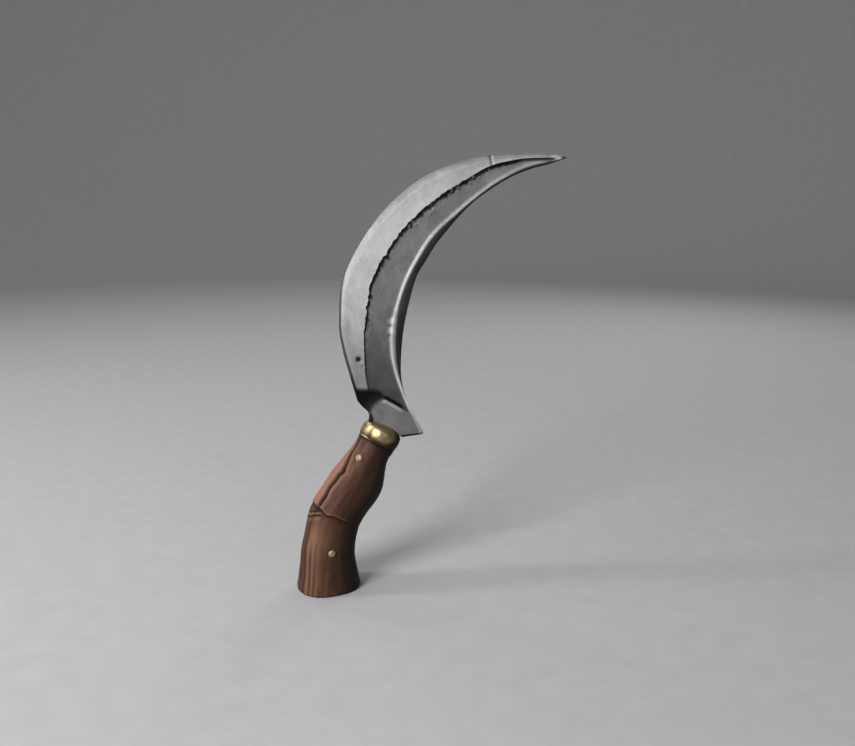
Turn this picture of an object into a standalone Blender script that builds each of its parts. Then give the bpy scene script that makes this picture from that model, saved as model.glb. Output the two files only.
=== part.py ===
"""Hand sickle: a forged crescent blade whose tang is held between two wooden
scales, closed at the top by a brass ferrule and fastened by two brass rivets.

+Z is up, the blade lies in the XZ plane with its tip towards +X, and the
origin is the centre of the flat end of the handle. Drawing sizes are in mm.
"""

import math

import bmesh
import bpy
import numpy as np

MM = 0.001
GAP = 0.3  # clearance between neighbouring pieces

# Blade: lines seen square to its flat side, from the base to the tip (x, z).
SPINE_LINE = [(24, 130), (19, 147.5), (14, 167), (12, 187), (16.5, 218), (39, 252), (71, 278),
              (105, 290.5), (127, 294), (150, 295), (172, 295), (184.2, 292.8)]
STEP_LINE = [(38, 122), (33, 132), (30, 145), (29, 167), (31, 189), (36, 211), (47, 230.5), (62, 249),
             (85, 267), (111, 281.5), (124, 287.2), (140, 290.6), (155, 292.2), (184, 292.6)]
RIB_LINE = [(70, 104), (60, 126), (53, 145), (49.5, 162), (50.5, 183), (58, 207), (68, 225),
            (80, 241), (97, 255), (115, 268), (131, 277.5), (151, 286), (171, 290.4), (184, 292.4)]
EDGE_LINE = [(72.5, 102.3), (62.3, 122.3), (56.9, 138.2), (55.7, 154), (58.3, 180), (66.5, 210.3),
             (74.4, 223.4), (82.7, 235.1), (97, 250.5), (110.2, 262.3), (124.6, 271.5), (139.8, 279.3),
             (155, 284.6), (170, 288), (184, 292.2)]
BLADE_ROWS = 76
HALF_THICK_BASE = 2.5  # half the thickness of the raised band at the ricasso
HALF_THICK_TIP = 0.9
SPINE_CHAMFER = 2.2
EDGE_HALF = 0.15
FULLER_DEPTH = 0.9
FULLER_FROM, FULLER_FULL = 0.035, 0.065  # where the fuller starts, as a share of the blade
FULLER_FADE, FULLER_END = 0.80, 0.93
STEP_SLOPE, RIB_ROUND, BEVEL_ROUND = 0.7, 1.8, 1.1  # widths beside the step and the rib
# Ricasso: its outer side below the blade, and its foot on the ferrule and heel.
NECK_LINE = [(27.8, 125.5), (31.4, 122), (32.6, 119), (32, 115.1)]
FOOT_LINE = [(32, 115.1), (33.3, 114.4), (34.8, 113.5), (38.5, 111.4), (55.4, 101.6), (68.5, 101.9),
             (70.2, 102), (71.2, 102.05), (72.4, 102.1)]
SCOOP_CENTRE, SCOOP_RADIUS, SCOOP_DEPTH = (25.5, 128.5), 30, 1.7

# Ferrule: a domed brass cup on the top of the handle, on an axis that leans to +X.
LEAN = math.radians(30)
FERRULE_FOOT = (37, 99.2)
FERRULE_OUTSIDE = [(13.0, 0.3), (13.5, 0.5), (13.65, 1.0), (13.5, 1.6), (13.85, 2.6), (14.1, 4.6),
                   (14.05, 7.0), (13.75, 9.0), (13.1, 10.4), (12.0, 11.35), (10.2, 12.2),
                   (7.6, 12.9), (4.4, 13.4), (1.0, 13.6)]  # radius, height up the axis
FERRULE_BORE, FERRULE_CEILING = 11.8, 9.5
BLADE_SEAT = 11  # floor of the groove across the dome that the blade's foot sits in

# Handle: centre line (x, z), half width in the blade's plane, half depth across it.
GRIP_STATIONS = [(0, 0, 22, 20.2), (-0.1, 15, 19.4, 17.8), (0.2, 26, 18.3, 16.2), (2.5, 39, 17.7, 15.5),
                 (6, 50.8, 18, 15.4), (13.1, 61.3, 18.1, 14.6), (22.2, 73.3, 18.7, 14),
                 (28.5, 85.4, 14.9, 13.2), (32.8, 92.9, 12.8, 12.6), (37, 99.2, 12.9, 12.8)]
GRIP_RINGS = 32
GRIP_SIDES = 56
SQUARENESS = 2.3  # exponent of the rounded section; 2 is an ellipse
BUTT_CHAMFER = 1.4
KNUCKLE_AT, KNUCKLE_RISE = 53, 0.4  # raised ring round the bend, at this height
KNUCKLE_SPREAD = 4
TENON_RADIUS, TENON_LENGTH = 11.4, 8
SEAM_Y = -2.8  # the scales part on this plane, level with the tang's near face

# Tang: centre line (x, z), half width, half thickness, from inside the ricasso down.
TANG_STATIONS = [(45.5, 113.9, 7.5, 2.2), (37, 99.2, 7.5, 2.2), (28.4, 84.6, 7.3, 2.2),
                 (17.6, 67.5, 7, 2.1), (7.4, 52.4, 6.6, 2.1), (1.6, 40, 6.2, 2), (-0.9, 29, 5.6, 1.9),
                 (-1.4, 17, 3.6, 1.6)]
TANG_ROWS = 40

# Rivets: centre in the tang (x, z), turn about the handle from square on,
# lean of the handle there, and how far head and tail lie from that centre.
RIVETS = {"upper": ((30.6, 87.1), math.radians(50), math.radians(31), 14.9, 14.6),
          "lower": ((-2.2, 30.2), 0.0, 0.0, 15.9, 15.9)}
SHANK_RADIUS = 1.5
HEAD_RADIUS, HEAD_HEIGHT = 2.5, 1.2
BURR_RADIUS, BURR_THICK = 3.4, 0.9
TAIL_RADIUS, TAIL_HEIGHT = 2.3, 0.9
ROUND_SIDES = 32
FERRULE_SIDES = 56


def clear_scene():
    for old in list(bpy.data.objects):
        bpy.data.objects.remove(old, do_unlink=True)


def material(name, colour, roughness, metallic):
    made = bpy.data.materials.new(name)
    made.use_nodes = True
    shader = made.node_tree.nodes["Principled BSDF"]
    shader.inputs["Base Color"].default_value = (*colour, 1)
    shader.inputs["Roughness"].default_value = roughness
    shader.inputs["Metallic"].default_value = metallic
    return made


def add_object(name, vertices, faces, finish):
    """One object from points in mm, with its normals facing out."""
    mesh = bpy.data.meshes.new(name)
    mesh.from_pydata([[c * MM for c in point] for point in vertices], [], faces)
    shape = bmesh.new()
    shape.from_mesh(mesh)
    bmesh.ops.recalc_face_normals(shape, faces=shape.faces)
    shape.to_mesh(mesh)
    shape.free()
    mesh.shade_smooth()
    mesh.set_sharp_from_angle(angle=math.radians(35))
    obj = bpy.data.objects.new(name, mesh)
    bpy.context.scene.collection.objects.link(obj)
    if finish:
        mesh.materials.append(finish)
    return obj


def combine(obj, other, operation):
    """A Boolean of the helper object `other` on obj."""
    other.hide_render = True
    other.display_type = "WIRE"
    step = obj.modifiers.new(f"{operation.lower()} {other.name}", "BOOLEAN")
    step.operation = operation
    step.object = other
    step.solver = "EXACT"


def smooth_path(points, count):
    """Evenly spaced points on the Catmull-Rom curve through the given ones."""
    given = np.array(points, float)
    given = np.vstack([2 * given[0] - given[1], given, 2 * given[-1] - given[-2]])
    t = np.linspace(0, 1, 24, endpoint=False)[:, None]
    spans = [0.5 * (2 * b + (c - a) * t + (2 * a - 5 * b + 4 * c - d) * t**2
                    + (3 * b - a - 3 * c + d) * t**3)
             for a, b, c, d in zip(given, given[1:], given[2:], given[3:])]
    fine = np.vstack([*spans, given[-2:-1]])
    run = np.concatenate([[0], np.cumsum(np.linalg.norm(np.diff(fine[:, :2], axis=0), axis=1))])
    even = np.linspace(0, run[-1], count)
    return np.column_stack([np.interp(even, run, column) for column in fine.T])


def ease(value, low, high):
    """0 below low, 1 above high, and smooth between."""
    share = min(max((value - low) / (high - low), 0), 1)
    return share * share * (3 - 2 * share)


def towards(start, end, distance, most=0.3):
    """The point `distance` along from start to end, at most a share of the way."""
    length = np.linalg.norm(end - start)
    return start + (end - start) * min(distance / length, most)


def strip_cap(first, sides):
    """Quads that close a ring whose second half runs back beside its first."""
    return [(first + i, first + i + 1, first + sides - 2 - i, first + sides - 1 - i)
            for i in range(sides // 2 - 1)]


def loft(rings, cap_ends=True, flat_caps=True):
    """(vertices, faces) of a skin over rings with equal numbers of points."""
    sides = len(rings[0])
    vertices = [point for ring in rings for point in ring]
    faces = []
    for row in range(len(rings) - 1):
        for side in range(sides):
            after = (side + 1) % sides
            faces.append((row * sides + side, row * sides + after,
                          (row + 1) * sides + after, (row + 1) * sides + side))
    last = len(vertices) - sides
    if cap_ends and flat_caps:
        faces += [tuple(range(sides)), tuple(last + side for side in range(sides))]
    elif cap_ends:
        faces += strip_cap(0, sides) + strip_cap(last, sides)
    return vertices, faces


def blade_section(spine, step, rib, edge, share):
    """(x, z, half thickness) across one row, from the spine to the cutting edge."""
    thick = HALF_THICK_BASE + (HALF_THICK_TIP - HALF_THICK_BASE) * share**1.5
    depth = FULLER_DEPTH * ease(share, FULLER_FROM, FULLER_FULL) * (1 - ease(share, FULLER_FADE, FULLER_END))
    depth = min(depth, 0.5 * thick)
    places = [(spine, 0.6 * thick),
              (towards(spine, step, SPINE_CHAMFER), thick),
              (towards(step, spine, 0.3, 0.1), thick),
              (towards(step, rib, STEP_SLOPE, 0.15), thick - depth),
              ((step + rib) / 2, thick - 1.2 * depth),
              (towards(rib, step, RIB_ROUND, 0.3), thick - depth),
              (rib, thick - 0.1 * depth),
              (towards(rib, edge, BEVEL_ROUND, 0.3), 0.8 * thick),
              (edge, EDGE_HALF)]
    return [(*place, half) for place, half in places]


def blade_rows():
    """Every cross row of the blade, from the ricasso's foot to the tip."""
    lines = [smooth_path(line, BLADE_ROWS) for line in (SPINE_LINE, STEP_LINE, RIB_LINE, EDGE_LINE)]
    rows = [blade_section(*(line[i] for line in lines), i / (BLADE_ROWS - 1)) for i in range(BLADE_ROWS)]
    halves = [half for _, _, half in rows[0]]
    first = np.array([place[:2] for place in rows[0]])
    foot = np.array(FOOT_LINE, float)
    below = []
    for number, neck in enumerate(NECK_LINE, start=1):
        row = first + (foot - first) * number / len(NECK_LINE)
        row[0] = neck
        row[1] = towards(row[0], row[2], SPINE_CHAMFER, 0.4)
        below.append([(*place, half) for place, half in zip(row, halves)])
    return below[::-1] + rows


def ricasso_scoop(side):
    """A shallow ball-shaped hollow on one face, beside the neck."""
    x, z = SCOOP_CENTRE
    mesh = bpy.data.meshes.new("scoop")
    shape = bmesh.new()
    bmesh.ops.create_uvsphere(shape, u_segments=96, v_segments=48, radius=SCOOP_RADIUS * MM)
    shape.to_mesh(mesh)
    shape.free()
    ball = bpy.data.objects.new(f"scoop_{side}_cutter", mesh)
    ball.location = (x * MM, side * (HALF_THICK_BASE - SCOOP_DEPTH + SCOOP_RADIUS) * MM, z * MM)
    bpy.context.scene.collection.objects.link(ball)
    return ball


def tang_rings(margin=0.0):
    """Rectangular rings down the tang, grown by a margin on every side."""
    path = smooth_path(TANG_STATIONS, TANG_ROWS)
    along = np.gradient(path[:, :2], axis=0)
    along /= np.linalg.norm(along, axis=1)[:, None]
    path[0, :2] -= margin * along[0]
    path[-1, :2] += margin * along[-1]
    rings = []
    for (x, z, wide, thick), (dx, dz) in zip(path, along):
        wide, thick = wide + margin, thick + margin
        rings.append([(x + side * dz * wide, face * thick, z - side * dx * wide)
                      for side, face in ((-1, -1), (1, -1), (1, 1), (-1, 1))])
    return rings


def make_blade(finish):
    rows = blade_rows()
    rings = [[(x, -half, z) for x, z, half in row] + [(x, half, z) for x, z, half in reversed(row)]
             for row in rows]
    blade = add_object("blade", *loft(rings, flat_caps=False), finish)
    combine(blade, add_object("tang_union", *loft(tang_rings()), None), "UNION")
    for side in (-1, 1):
        combine(blade, ricasso_scoop(side), "DIFFERENCE")
    return blade


def ferrule_point(across, depth, up):
    """World point from the ferrule's own directions: across the blade's plane,
    in depth, and up along its leaning axis."""
    x, z = FERRULE_FOOT
    return (x + across * math.cos(LEAN) + up * math.sin(LEAN), depth,
            z - across * math.sin(LEAN) + up * math.cos(LEAN))


def turned(profile, place, sides=ROUND_SIDES, closed=False):
    """(vertices, faces) of a profile of (radius, height) turned about an axis."""
    rings = []
    for radius, height in profile:
        ring = []
        for side in range(sides):
            angle = 2 * math.pi * side / sides
            ring.append(place(radius * math.cos(angle), radius * math.sin(angle), height))
        rings.append(ring)
    if closed:
        rings.append(rings[0])
        vertices, faces = loft(rings, cap_ends=False)
        count = len(vertices) - sides
        return vertices[:count], [tuple(i % count for i in face) for face in faces]
    return loft(rings)


def make_ferrule(finish):
    """A domed cup with a beaded foot, grooved for the blade's foot and slotted for the tang."""
    ferrule = add_object("ferrule", *turned(FERRULE_OUTSIDE, ferrule_point, FERRULE_SIDES), finish)
    hollow = [(FERRULE_BORE, -1), (FERRULE_BORE, FERRULE_CEILING - 1), (FERRULE_BORE - 1, FERRULE_CEILING)]
    bore = turned(hollow, ferrule_point, FERRULE_SIDES)
    half_slot = HALF_THICK_BASE + GAP
    beyond = FERRULE_OUTSIDE[-1][1] + 5
    groove = [[ferrule_point(across, depth, up)
               for across, depth in ((-20, -half_slot), (20, -half_slot), (20, half_slot), (-20, half_slot))]
              for up in (BLADE_SEAT, beyond)]
    combine(ferrule, add_object("ferrule_bore_cutter", *bore, None), "DIFFERENCE")
    combine(ferrule, add_object("blade_seat_cutter", *loft(groove), None), "DIFFERENCE")
    combine(ferrule, add_object("ferrule_slot_cutter", *loft(tang_rings(GAP)), None), "DIFFERENCE")
    return ferrule


def grip_rings():
    """Rings of the whole handle, before it is parted into two scales."""
    path = smooth_path(GRIP_STATIONS, GRIP_RINGS)
    along = np.gradient(path[:, :2], axis=0)
    along[0] = (0, 1)
    along[-1] = (math.sin(LEAN), math.cos(LEAN))
    along /= np.linalg.norm(along, axis=1)[:, None]
    rings = [section(path[0], (0, 1), -BUTT_CHAMFER)]
    path[0, 1] += BUTT_CHAMFER
    for place, direction in zip(path, along):
        rise = KNUCKLE_RISE * math.exp(-((place[1] - KNUCKLE_AT) / KNUCKLE_SPREAD) ** 2)
        rings.append(section(place, direction, rise))
    for up in (0, TENON_LENGTH):
        rings.append([ferrule_point(TENON_RADIUS * math.cos(angle), TENON_RADIUS * math.sin(angle), up)
                      for angle in section_angles()])
    return rings


def section_angles():
    return [2 * math.pi * side / GRIP_SIDES for side in range(GRIP_SIDES)]


def section(place, direction, grow):
    """A rounded-square ring about (x, z), square to the direction of the handle."""
    x, z, wide, deep = place
    dx, dz = direction
    ring = []
    for angle in section_angles():
        across, depth = math.cos(angle), math.sin(angle)
        across = (wide + grow) * math.copysign(abs(across) ** (2 / SQUARENESS), across)
        depth = (deep + grow) * math.copysign(abs(depth) ** (2 / SQUARENESS), depth)
        ring.append((x + across * dz, depth, z - across * dx))
    return ring


def half_space(name, low, high):
    """A box that takes in the whole handle between two values of y."""
    rings = [[(-60, y, -20), (90, y, -20), (90, y, 130), (-60, y, 130)] for y in (low, high)]
    return add_object(name, *loft(rings), None)


def rivet_point(name):
    """Function from (radius directions, distance towards the head) to the world."""
    (x, z), turn, lean, _, _ = RIVETS[name]
    head = (-math.sin(turn) * math.cos(lean), -math.cos(turn), math.sin(turn) * math.sin(lean))
    across = (math.cos(turn) * math.cos(lean), -math.sin(turn), -math.cos(turn) * math.sin(lean))
    up = (math.sin(lean), 0, math.cos(lean))

    def place(sideways, upwards, out):
        parts = zip(across, up, head)
        return tuple(origin + sideways * a + upwards * u + out * h
                     for origin, (a, u, h) in zip((x, 0, z), parts))

    return place


def dome(radius, height, base):
    """Profile of a domed head whose rim is at `base`, ending near its crown."""
    steps = 6
    turns = [math.pi / 2 * i / steps for i in range(steps + 1)]
    return [(radius * math.cos(0.94 * turn), base + height * math.sin(turn)) for turn in turns]


def make_rivet(name, finish):
    """A domed head, a shank, and a tail hammered over its burr."""
    _, _, _, head_at, tail_at = RIVETS[name]
    tail_rim = -(tail_at + BURR_THICK + 2 * GAP)
    profile = [*dome(TAIL_RADIUS, -TAIL_HEIGHT, tail_rim)[::-1],
               (SHANK_RADIUS, tail_rim), (SHANK_RADIUS, head_at),
               *dome(HEAD_RADIUS, HEAD_HEIGHT, head_at)]
    return add_object(f"{name}_rivet", *turned(profile, rivet_point(name)), finish)


def make_burr(name, finish):
    """The washer under a rivet's hammered tail."""
    _, _, _, _, tail_at = RIVETS[name]
    inner, outer = SHANK_RADIUS + GAP, BURR_RADIUS
    low, high = -(tail_at + GAP + BURR_THICK), -(tail_at + GAP)
    profile = [(inner, low), (outer - 0.4, low), (outer, low + 0.4), (outer, high), (inner, high)]
    return add_object(f"{name}_rivet_burr", *turned(profile, rivet_point(name), closed=True), finish)


def rivet_hole(name):
    """Cutter for the shank's hole, with a flat seat for the head and for the burr."""
    _, _, _, head_at, tail_at = RIVETS[name]
    hole = SHANK_RADIUS + GAP
    seat, far_seat = HEAD_RADIUS + GAP, BURR_RADIUS + GAP
    profile = [(far_seat, -tail_at - 8), (far_seat, -tail_at), (hole, -tail_at), (hole, head_at - GAP),
               (seat, head_at - GAP), (seat, head_at + 8)]
    return add_object(f"{name}_hole_cutter", *turned(profile, rivet_point(name)), None)


def make_scales(finish, channel, holes):
    """The two halves of the handle; the far one is channelled for the tang."""
    skin = loft(grip_rings())
    sides = {"near_scale": (SEAM_Y - GAP / 2, 60), "far_scale": (-60, SEAM_Y + GAP / 2)}
    scales = []
    for name, (low, high) in sides.items():
        scale = add_object(name, *skin, finish)
        combine(scale, half_space(f"{name}_parting_cutter", low, high), "DIFFERENCE")
        if name == "far_scale":
            combine(scale, channel, "DIFFERENCE")
        for hole in holes:
            combine(scale, hole, "DIFFERENCE")
        scales.append(scale)
    return scales


clear_scene()
steel = material("forged_steel", (0.36, 0.36, 0.37), 0.42, 1.0)
brass = material("brass", (0.62, 0.45, 0.19), 0.3, 1.0)
wood = material("handle_wood", (0.13, 0.058, 0.035), 0.5, 0.0)

blade = make_blade(steel)
make_ferrule(brass)
tang_channel = add_object("tang_channel_cutter", *loft(tang_rings(GAP)), None)
rivet_holes = [rivet_hole(name) for name in RIVETS]
make_scales(wood, tang_channel, rivet_holes)
for rivet_name, hole_cutter in zip(RIVETS, rivet_holes):
    combine(blade, hole_cutter, "DIFFERENCE")
    make_rivet(rivet_name, brass)
    make_burr(rivet_name, brass)
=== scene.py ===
import math

import bmesh
import bpy
import numpy as np
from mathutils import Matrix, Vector


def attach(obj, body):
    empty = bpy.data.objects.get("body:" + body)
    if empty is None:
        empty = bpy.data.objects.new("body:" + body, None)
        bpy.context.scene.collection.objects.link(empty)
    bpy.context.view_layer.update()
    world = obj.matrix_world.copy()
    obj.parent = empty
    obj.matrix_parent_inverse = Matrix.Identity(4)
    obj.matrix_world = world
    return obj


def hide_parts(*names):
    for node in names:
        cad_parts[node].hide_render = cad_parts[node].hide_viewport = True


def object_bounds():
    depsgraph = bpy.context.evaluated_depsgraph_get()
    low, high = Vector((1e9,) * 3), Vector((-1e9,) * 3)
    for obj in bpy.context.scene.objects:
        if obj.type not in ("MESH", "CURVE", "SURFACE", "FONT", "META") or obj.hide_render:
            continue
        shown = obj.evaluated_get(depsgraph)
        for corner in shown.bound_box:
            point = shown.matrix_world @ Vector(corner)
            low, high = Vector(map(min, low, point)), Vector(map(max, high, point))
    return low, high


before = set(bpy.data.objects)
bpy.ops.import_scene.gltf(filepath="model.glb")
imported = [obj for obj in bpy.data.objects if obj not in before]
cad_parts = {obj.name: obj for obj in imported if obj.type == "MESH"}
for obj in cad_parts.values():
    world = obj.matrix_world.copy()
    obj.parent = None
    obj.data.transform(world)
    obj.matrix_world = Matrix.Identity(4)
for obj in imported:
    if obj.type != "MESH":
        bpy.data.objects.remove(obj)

# The looks of the hand sickle: a worn blade, carved scales, a dented brass
# ferrule and hammered rivets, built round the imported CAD. The lines and
# stations below follow part.py's, in mm.

MM = 0.001
CAD_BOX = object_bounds()

SPINE_LINE = [(24, 130), (19, 147.5), (14, 167), (12, 187), (16.5, 218), (39, 252), (71, 278),
              (105, 290.5), (127, 294), (150, 295), (172, 295), (184.2, 292.8)]
STEP_LINE = [(38, 122), (33, 132), (30, 145), (29, 167), (31, 189), (36, 211), (47, 230.5), (62, 249),
             (85, 267), (111, 281.5), (124, 287.2), (140, 290.6), (155, 292.2), (184, 292.6)]
RIB_LINE = [(70, 104), (60, 126), (53, 145), (49.5, 162), (50.5, 183), (58, 207), (68, 225),
            (80, 241), (97, 255), (115, 268), (131, 277.5), (151, 286), (171, 290.4), (184, 292.4)]
EDGE_LINE = [(72.5, 102.3), (62.3, 122.3), (56.9, 138.2), (55.7, 154), (58.3, 180), (66.5, 210.3),
             (74.4, 223.4), (82.7, 235.1), (97, 250.5), (110.2, 262.3), (124.6, 271.5), (139.8, 279.3),
             (155, 284.6), (170, 288), (184, 292.2)]
NECK_LINE = [(24, 130), (27.8, 125.5), (31.4, 122), (32.6, 119), (32, 115.1)]
FOOT_LINE = [(32, 115.1), (34.8, 113.5), (55.4, 101.6), (70.2, 102), (72.4, 102.1)]
HALF_THICK_BASE, HALF_THICK_TIP = 2.5, 0.9  # of the blade, at the ricasso and at the tip
LEAN = math.radians(30)
FERRULE_FOOT = (37, 99.2)
FERRULE_OUTSIDE = [(13.0, 0.3), (13.5, 0.5), (13.65, 1.0), (13.5, 1.6), (13.85, 2.6), (14.1, 4.6),
                   (14.05, 7.0), (13.75, 9.0), (13.1, 10.4), (12.0, 11.35), (10.2, 12.2),
                   (7.6, 12.9), (4.4, 13.4), (1.0, 13.6)]
FERRULE_BORE, FERRULE_CEILING, BLADE_SEAT = 11.8, 9.5, 11
FERRULE_LIMIT = 14.2  # the dents bulge no further out than this
GRIP_STATIONS = [(0, 0, 22, 20.2), (-0.1, 15, 19.4, 17.8), (0.2, 26, 18.3, 16.2), (2.5, 39, 17.7, 15.5),
                 (6, 50.8, 18, 15.4), (13.1, 61.3, 18.1, 14.6), (22.2, 73.3, 18.7, 14),
                 (28.5, 85.4, 14.9, 13.2), (32.8, 92.9, 12.8, 12.6), (37, 99.2, 12.9, 12.8)]
SQUARENESS = 2.3  # exponent of the grip's rounded section; 2 is an ellipse
SEAM_Y, GAP = -2.8, 0.3  # where the scales part, and the clearance between pieces
TANG_STATIONS = [(45.5, 113.9, 7.5, 2.2), (37, 99.2, 7.5, 2.2), (28.4, 84.6, 7.3, 2.2),
                 (17.6, 67.5, 7, 2.1), (7.4, 52.4, 6.6, 2.1), (1.6, 40, 6.2, 2), (-0.9, 29, 5.6, 1.9),
                 (-1.4, 17, 3.6, 1.6)]
# Where a rivet crosses the grip (x, z), its turn and lean, and its head's and tail's seats.
RIVETS = {"upper": ((30.6, 87.1), math.radians(50), math.radians(31), 14.9, 14.6),
          "lower": ((-2.2, 30.2), 0.0, 0.0, 15.9, 15.9)}

# What only the looks have. Lines on the blade's flat side are (x, z).
SHOULDER_LINE = [(30.5, 120.5), (31.7, 123.1), (33.2, 125.8), (35.4, 128.3), (38.5, 130.4), (41.2, 131),
                 (44, 129.6), (48.7, 126.6), (56.1, 121.6), (60.5, 118.8)]
SCOOP_TOP = [(15, 141.5), (22.6, 139.4), (33.4, 138.4), (45.1, 135.8), (52, 131)]
NICK_LINE = [(121.6, 295), (123.9, 285.6)]
# How far the step is broken back from its line (share of its length, mm), the chips along it (share, mm,
# share wide) and the teeth of painted shadow under it (the same).
STEP_BREAK = [(0, 0), (0.05, 0.6), (0.1, 1.2), (0.17, 1.0), (0.27, 1.9), (0.37, 2.2), (0.44, 1.4),
              (0.51, 1.2), (0.62, 0.3), (0.7, 0)]
STEP_CHIPS = [(0.27, -0.8, 0.0045), (0.305, 0.9, 0.006), (0.41, 0.8, 0.006), (0.47, -0.7, 0.004)]
STEP_TEETH = [(0.247, 1.6, 0.004), (0.305, 1.9, 0.005), (0.345, 0.9, 0.004), (0.385, 1.4, 0.004),
              (0.412, 1.3, 0.004), (0.44, 1.0, 0.005), (0.475, 1.4, 0.004), (0.51, 1.2, 0.005),
              (0.55, 1.2, 0.004), (0.585, 1.0, 0.004), (0.63, 0.9, 0.005)]
# Marks on the blade's face: flakes (x, z, mm wide), lumps on the rib (x, z) and pits
# (x, z, mm wide, mm deep, how dark).
FLAKES = [(43.5, 243.5, 1.5), (46.5, 240.0, 1.2), (38.8, 237.4, 1.2)]
RIB_LUMPS = [(48.6, 184.0), (48.0, 177.5)]
PITS = [(24.2, 159.7, 1.7, 0.9, 1.6), (26.9, 154.8, 0.8, 0.3, 0.5)]
# Where the scales' joint shows on the back of the grip (share of its length, y).
BACK_SEAM = [(0, -6.5), (0.1, -6.5), (0.2, -6), (0.29, -4.4), (0.4, -5), (0.5, -6.8), (0.61, -6.2),
             (0.7, -7.2), (0.76, -7.6), (0.84, -4.2), (0.89, -2.4), (0.94, -1.2), (1, -0.3)]


# -------- helpers

def value_noise(points, scale, seed):
    """Smooth noise from -1 to 1 at points in mm; scale is the size of a cell."""
    size = 32
    table = np.random.default_rng(seed).uniform(-1, 1, (size, size, size))
    at = np.asarray(points, float) / scale + 100
    cell = np.floor(at).astype(int)
    part = at - cell
    part = part * part * (3 - 2 * part)
    total = 0
    for i in (0, 1):
        for j in (0, 1):
            for k in (0, 1):
                weight = (np.abs(1 - i - part[..., 0]) * np.abs(1 - j - part[..., 1])
                          * np.abs(1 - k - part[..., 2]))
                corner = (cell + (i, j, k)) % size
                total = total + weight * table[corner[..., 0], corner[..., 1], corner[..., 2]]
    return total


def rough_noise(points, scale, seed, octaves=3):
    return sum(value_noise(points, scale / 2**i, seed + i) / 2**i for i in range(octaves))


def unit(vectors):
    return vectors / np.linalg.norm(vectors, axis=1)[:, None]


def distances(points):
    """Distance of each point along their line."""
    return np.concatenate([[0], np.cumsum(np.linalg.norm(np.diff(points, axis=0), axis=1))])


def smooth_path(points, count):
    """Evenly spaced points on the Catmull-Rom curve through the given ones."""
    given = np.array(points, float)
    given = np.vstack([2 * given[0] - given[1], given, 2 * given[-1] - given[-2]])
    t = np.linspace(0, 1, 24, endpoint=False)[:, None]
    spans = [0.5 * (2 * b + (c - a) * t + (2 * a - 5 * b + 4 * c - d) * t**2 + (3 * b - a - 3 * c + d) * t**3)
             for a, b, c, d in zip(given, given[1:], given[2:], given[3:])]
    fine = np.vstack([*spans, given[-2:-1]])
    run = distances(fine[:, :2])
    even = np.linspace(0, run[-1], count)
    return np.column_stack([np.interp(even, run, column) for column in fine.T])


def ease(value, low, high):
    """0 up to low, 1 from high on, and smooth between them."""
    share = np.clip((value - low) / (high - low), 0, 1)
    return share * share * (3 - 2 * share)


def bump(distance, width):
    """1 at distance 0, fading over about the width on both sides."""
    return np.exp(-(distance / width) ** 2)


def grid_faces(rows, columns, wrap=False):
    """Quads of a grid of rows x columns points, joined round if wrap is set."""
    faces = []
    last = columns if wrap else columns - 1
    for row in range(rows - 1):
        for column in range(last):
            after = (column + 1) % columns
            faces.append((row * columns + column, row * columns + after,
                          (row + 1) * columns + after, (row + 1) * columns + column))
    return faces


def tube_faces(rows, columns):
    """Quads of a tube of rows x columns points, and its two end faces."""
    last = (rows - 1) * columns
    return grid_faces(rows, columns, wrap=True) + [tuple(range(columns)), tuple(range(last, last + columns))]


def add_object(name, data):
    thing = bpy.data.objects.new(name, data)
    bpy.context.scene.collection.objects.link(thing)
    return thing


def build(name, points, faces, finish, node, sharp, attributes):
    """A visual piece from points in mm, for a CAD node; edges over sharp degrees stay sharp."""
    mesh = bpy.data.meshes.new(name)
    mesh.from_pydata((np.asarray(points) * MM).tolist(), [], faces)
    for label, values in attributes.items():
        values = np.asarray(values, np.float32)
        kind, key = ("FLOAT", "value") if values.ndim == 1 else ("FLOAT_VECTOR", "vector")
        mesh.attributes.new(label, kind, "POINT").data.foreach_set(key, values.ravel())
    shape = bmesh.new()
    shape.from_mesh(mesh)
    bmesh.ops.recalc_face_normals(shape, faces=shape.faces)
    shape.to_mesh(mesh)
    shape.free()
    mesh.shade_smooth()
    mesh.set_sharp_from_angle(angle=math.radians(sharp))
    mesh.materials.append(finish)
    piece = add_object(name, mesh)
    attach(piece, "root")
    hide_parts(node)


# -------- materials

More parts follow.
